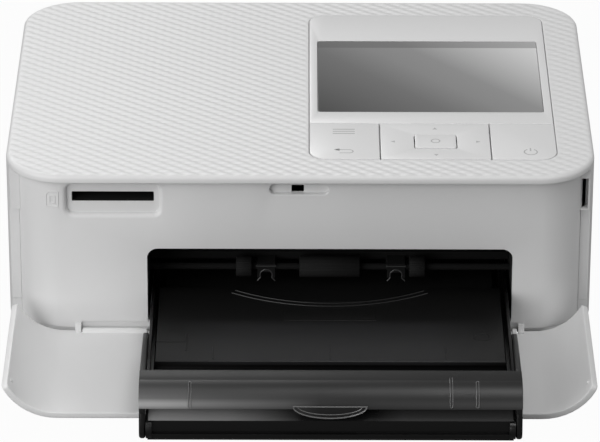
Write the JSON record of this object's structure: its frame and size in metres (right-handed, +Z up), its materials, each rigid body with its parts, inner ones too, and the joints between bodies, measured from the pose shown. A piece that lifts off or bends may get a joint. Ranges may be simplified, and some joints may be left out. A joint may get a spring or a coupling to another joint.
{
  "type": "compact photo printer",
  "caption": "Compact white photo printer with its front door folded down and the black paper cassette in the bay, a large display and flat keys on the textured top",
  "frame": {"origin": "middle of the footprint, doors and cassette included, on the table", "axes": "+X to the right seen from the front, +Y to the rear, +Z up"},
  "size_m": [0.1822, 0.1987, 0.0577],
  "materials": {
    "top_white": "fine raised texture",
    "shell_white": "satin",
    "door_white": "satin",
    "panel_white": "satin",
    "key_white": "satin",
    "display_glass": "polished",
    "display_body": "folded frame",
    "black_plastic": "satin",
    "tray_black": "polished front, satin walls",
    "smoke_plastic": "polished",
    "roller_rubber": "ground",
    "foot_rubber": "matte",
    "steel": "bright",
    "aluminium": "extruded",
    "ceramic": "glazed",
    "gear_acetal": "moulded",
    "brass": "turned",
    "board_green": "lacquered",
    "flex_amber": "film",
    "ribbon_film": "film",
    "lever_orange": "satin"
  },
  "bodies": {
    "printer": {"top_cover": "top_white", "body_case": "shell_white", "bottom_case": "shell_white", "front_bezel": "shell_white", "rubber_feet": "foot_rubber", "case_screws": "steel", "hinge_pins": "steel", "panel_frame": "panel_white", "lcd_glass": "display_glass", "lcd_module": "display_body", "key_board": "board_green", "key_domes": "steel", "panel_flex": "flex_amber", "bay_liner": "black_plastic", "pickup_beam": "black_plastic", "paper_guide": "black_plastic", "chassis_left": "steel", "chassis_right": "steel", "chassis_ties": "steel", "shaft_bushes": "brass", "motor_bracket": "steel", "main_board": "board_green", "card_socket": "steel", "usb_socket": "steel", "dc_jack": "black_plastic", "feed_motor": "steel", "ribbon_motor": "steel"},
    "front_door": {"front_door": "door_white"},
    "side_door": {"ink_door": "shell_white"},
    "left_key": {"menu_key": "key_white"},
    "right_key": {"power_key": "key_white"},
    "rocker_ring": {"nav_carrier": "gear_acetal"},
    "rocker": {"nav_plate": "key_white"},
    "centre_button": {"ok_button": "key_white"},
    "pickup_set": {"pickup_shaft": "steel", "pickup_rollers": "roller_rubber", "pickup_gear": "gear_acetal"},
    "feed_set": {"feed_roller": "steel", "feed_gear": "gear_acetal"},
    "pinch": {"pinch_roller": "roller_rubber"},
    "idler": {"idler_gear": "gear_acetal"},
    "platen_set": {"platen_roller": "roller_rubber", "platen_gear": "gear_acetal"},
    "feed_drive_pinion": {"feed_pinion": "brass"},
    "ribbon_drive_pinion": {"ribbon_pinion": "brass"},
    "takeup_spindle": {"takeup_drive": "gear_acetal"},
    "supply_spindle": {"supply_brake": "gear_acetal"},
    "print_head": {"head_arm": "steel", "thermal_head": "ceramic", "heat_sink": "aluminium"},
    "cam": {"head_cam": "gear_acetal"},
    "ink_cassette": {"ink_case": "black_plastic", "ribbon_web": "ribbon_film"},
    "supply_roll": {"supply_spool": "ribbon_film"},
    "takeup_roll": {"takeup_spool": "ribbon_film"},
    "cassette_lever": {"ink_lever": "lever_orange"},
    "paper_cassette": {"cassette_tray": "tray_black", "inner_lid": "black_plastic"},
    "lifter": {"lifter_plate": "black_plastic"},
    "cassette_lid": {"outer_lid": "smoke_plastic"}
  },
  "joints": [
    {"name": "front_door_hinge", "type": "hinge", "parent": "printer", "child": "front_door", "pos_m": [0, -0.032, 0.0024], "axis": [-1, 0, 0], "range_deg": [0, 3]},
    {"name": "side_door_hinge", "type": "hinge", "parent": "printer", "child": "side_door", "pos_m": [0.0901, 0.0425, 0.022], "axis": [0, 1, 0], "range_deg": [0, 88]},
    {"name": "paper_cassette_slide", "type": "slide", "parent": "printer", "child": "paper_cassette", "axis": [0, -1, 0], "range_m": [0, 0.16]},
    {"name": "cassette_lid_hinge", "type": "hinge", "parent": "paper_cassette", "child": "cassette_lid", "pos_m": [0.0093, -0.096, 0.0044], "axis": [1, 0, 0], "range_deg": [0, 95]},
    {"name": "lifter_hinge", "type": "hinge", "parent": "paper_cassette", "child": "lifter", "pos_m": [0.0093, 0.0595, 0.0079], "axis": [-1, 0, 0], "range_deg": [0, 2.5]},
    {"name": "left_key_press", "type": "slide", "parent": "printer", "child": "left_key", "axis": [0, 0, -1], "range_m": [0, 0.0004], "stiffness_N_per_m": 800, "springref_m": -0.0003},
    {"name": "right_key_press", "type": "slide", "parent": "printer", "child": "right_key", "axis": [0, 0, -1], "range_m": [0, 0.0004], "stiffness_N_per_m": 800, "springref_m": -0.0003},
    {"name": "centre_button_press", "type": "slide", "parent": "printer", "child": "centre_button", "axis": [0, 0, -1], "range_m": [0, 0.0004], "stiffness_N_per_m": 800, "springref_m": -0.0003},
    {"name": "rocker_tilt_front_back", "type": "hinge", "parent": "printer", "child": "rocker_ring", "pos_m": [0.0421, -0.0087, 0.055], "axis": [1, 0, 0], "range_deg": [-0.9, 0.9], "stiffness_Nm_per_rad": 0.5},
    {"name": "rocker_tilt_left_right", "type": "hinge", "parent": "rocker_ring", "child": "rocker", "pos_m": [0.0421, -0.0087, 0.055], "axis": [0, 1, 0], "range_deg": [-0.9, 0.9], "stiffness_Nm_per_rad": 0.5},
    {"name": "feed_roller_turn", "type": "hinge", "parent": "printer", "child": "feed_set", "pos_m": [0.0093, 0.0065, 0.0222], "axis": [1, 0, 0], "continuous": true},
    {"name": "pinch_roller_turn", "type": "hinge", "parent": "printer", "child": "pinch", "pos_m": [0.0093, 0.0065, 0.0281], "axis": [1, 0, 0], "continuous": true},
    {"name": "pickup_roller_turn", "type": "hinge", "parent": "printer", "child": "pickup_set", "pos_m": [0.0093, -0.01368, 0.0164], "axis": [1, 0, 0], "continuous": true},
    {"name": "idler_turn", "type": "hinge", "parent": "printer", "child": "idler", "pos_m": [-0.06, 0.0245, 0.01951], "axis": [1, 0, 0], "continuous": true},
    {"name": "platen_roller_turn", "type": "hinge", "parent": "printer", "child": "platen_set", "pos_m": [0.0093, 0.04232, 0.0206], "axis": [1, 0, 0], "continuous": true},
    {"name": "feed_motor_turn", "type": "hinge", "parent": "printer", "child": "feed_drive_pinion", "pos_m": [-0.06, -0.00442, 0.03204], "axis": [1, 0, 0], "continuous": true},
    {"name": "takeup_turn", "type": "hinge", "parent": "printer", "child": "takeup_spindle", "pos_m": [-0.055, 0.0215, 0.0362], "axis": [1, 0, 0], "continuous": true},
    {"name": "ribbon_motor_turn", "type": "hinge", "parent": "printer", "child": "ribbon_drive_pinion", "pos_m": [-0.055, 0.03484, 0.0439], "axis": [1, 0, 0], "continuous": true},
    {"name": "takeup_roll_turn", "type": "hinge", "parent": "ink_cassette", "child": "takeup_roll", "pos_m": [0.0093, 0.0215, 0.0362], "axis": [1, 0, 0], "continuous": true},
    {"name": "supply_roll_turn", "type": "hinge", "parent": "ink_cassette", "child": "supply_roll", "pos_m": [0.0093, 0.0635, 0.0362], "axis": [1, 0, 0], "continuous": true},
    {"name": "supply_brake_turn", "type": "hinge", "parent": "printer", "child": "supply_spindle", "pos_m": [-0.055, 0.0635, 0.0362], "axis": [1, 0, 0], "continuous": true},
    {"name": "print_head_lower", "type": "hinge", "parent": "printer", "child": "print_head", "pos_m": [0.0093, 0.0785, 0.046], "axis": [1, 0, 0], "range_deg": [0, 3.5], "stiffness_Nm_per_rad": 0.3, "springref_deg": -10},
    {"name": "head_cam_turn", "type": "hinge", "parent": "printer", "child": "cam", "pos_m": [-0.048, 0.0845, 0.0447], "axis": [1, 0, 0], "range_deg": [0, 90]},
    {"name": "ink_cassette_slide", "type": "slide", "parent": "printer", "child": "ink_cassette", "axis": [1, 0, 0], "range_m": [0, 0.004]},
    {"name": "cassette_lever_lift", "type": "slide", "parent": "printer", "child": "cassette_lever", "axis": [0, 0, 1], "range_m": [0, 0.003], "stiffness_N_per_m": 100, "springref_m": -0.002}
  ],
  "couplings": [
    {"joint": "pinch_roller_turn", "follows": "feed_roller_turn", "ratio": -0.88333},
    {"joint": "pickup_roller_turn", "follows": "feed_roller_turn", "ratio": -1},
    {"joint": "idler_turn", "follows": "feed_roller_turn", "ratio": -1.3636},
    {"joint": "platen_roller_turn", "follows": "feed_roller_turn", "ratio": 1.0345},
    {"joint": "feed_motor_turn", "follows": "feed_roller_turn", "ratio": -2.5},
    {"joint": "ribbon_motor_turn", "follows": "takeup_turn", "ratio": -2.6667},
    {"joint": "takeup_roll_turn", "follows": "takeup_turn", "ratio": 1},
    {"joint": "supply_brake_turn", "follows": "supply_roll_turn", "ratio": 1},
    {"joint": "head_cam_turn", "follows": "print_head_lower", "ratio": 25.714}
  ]
}
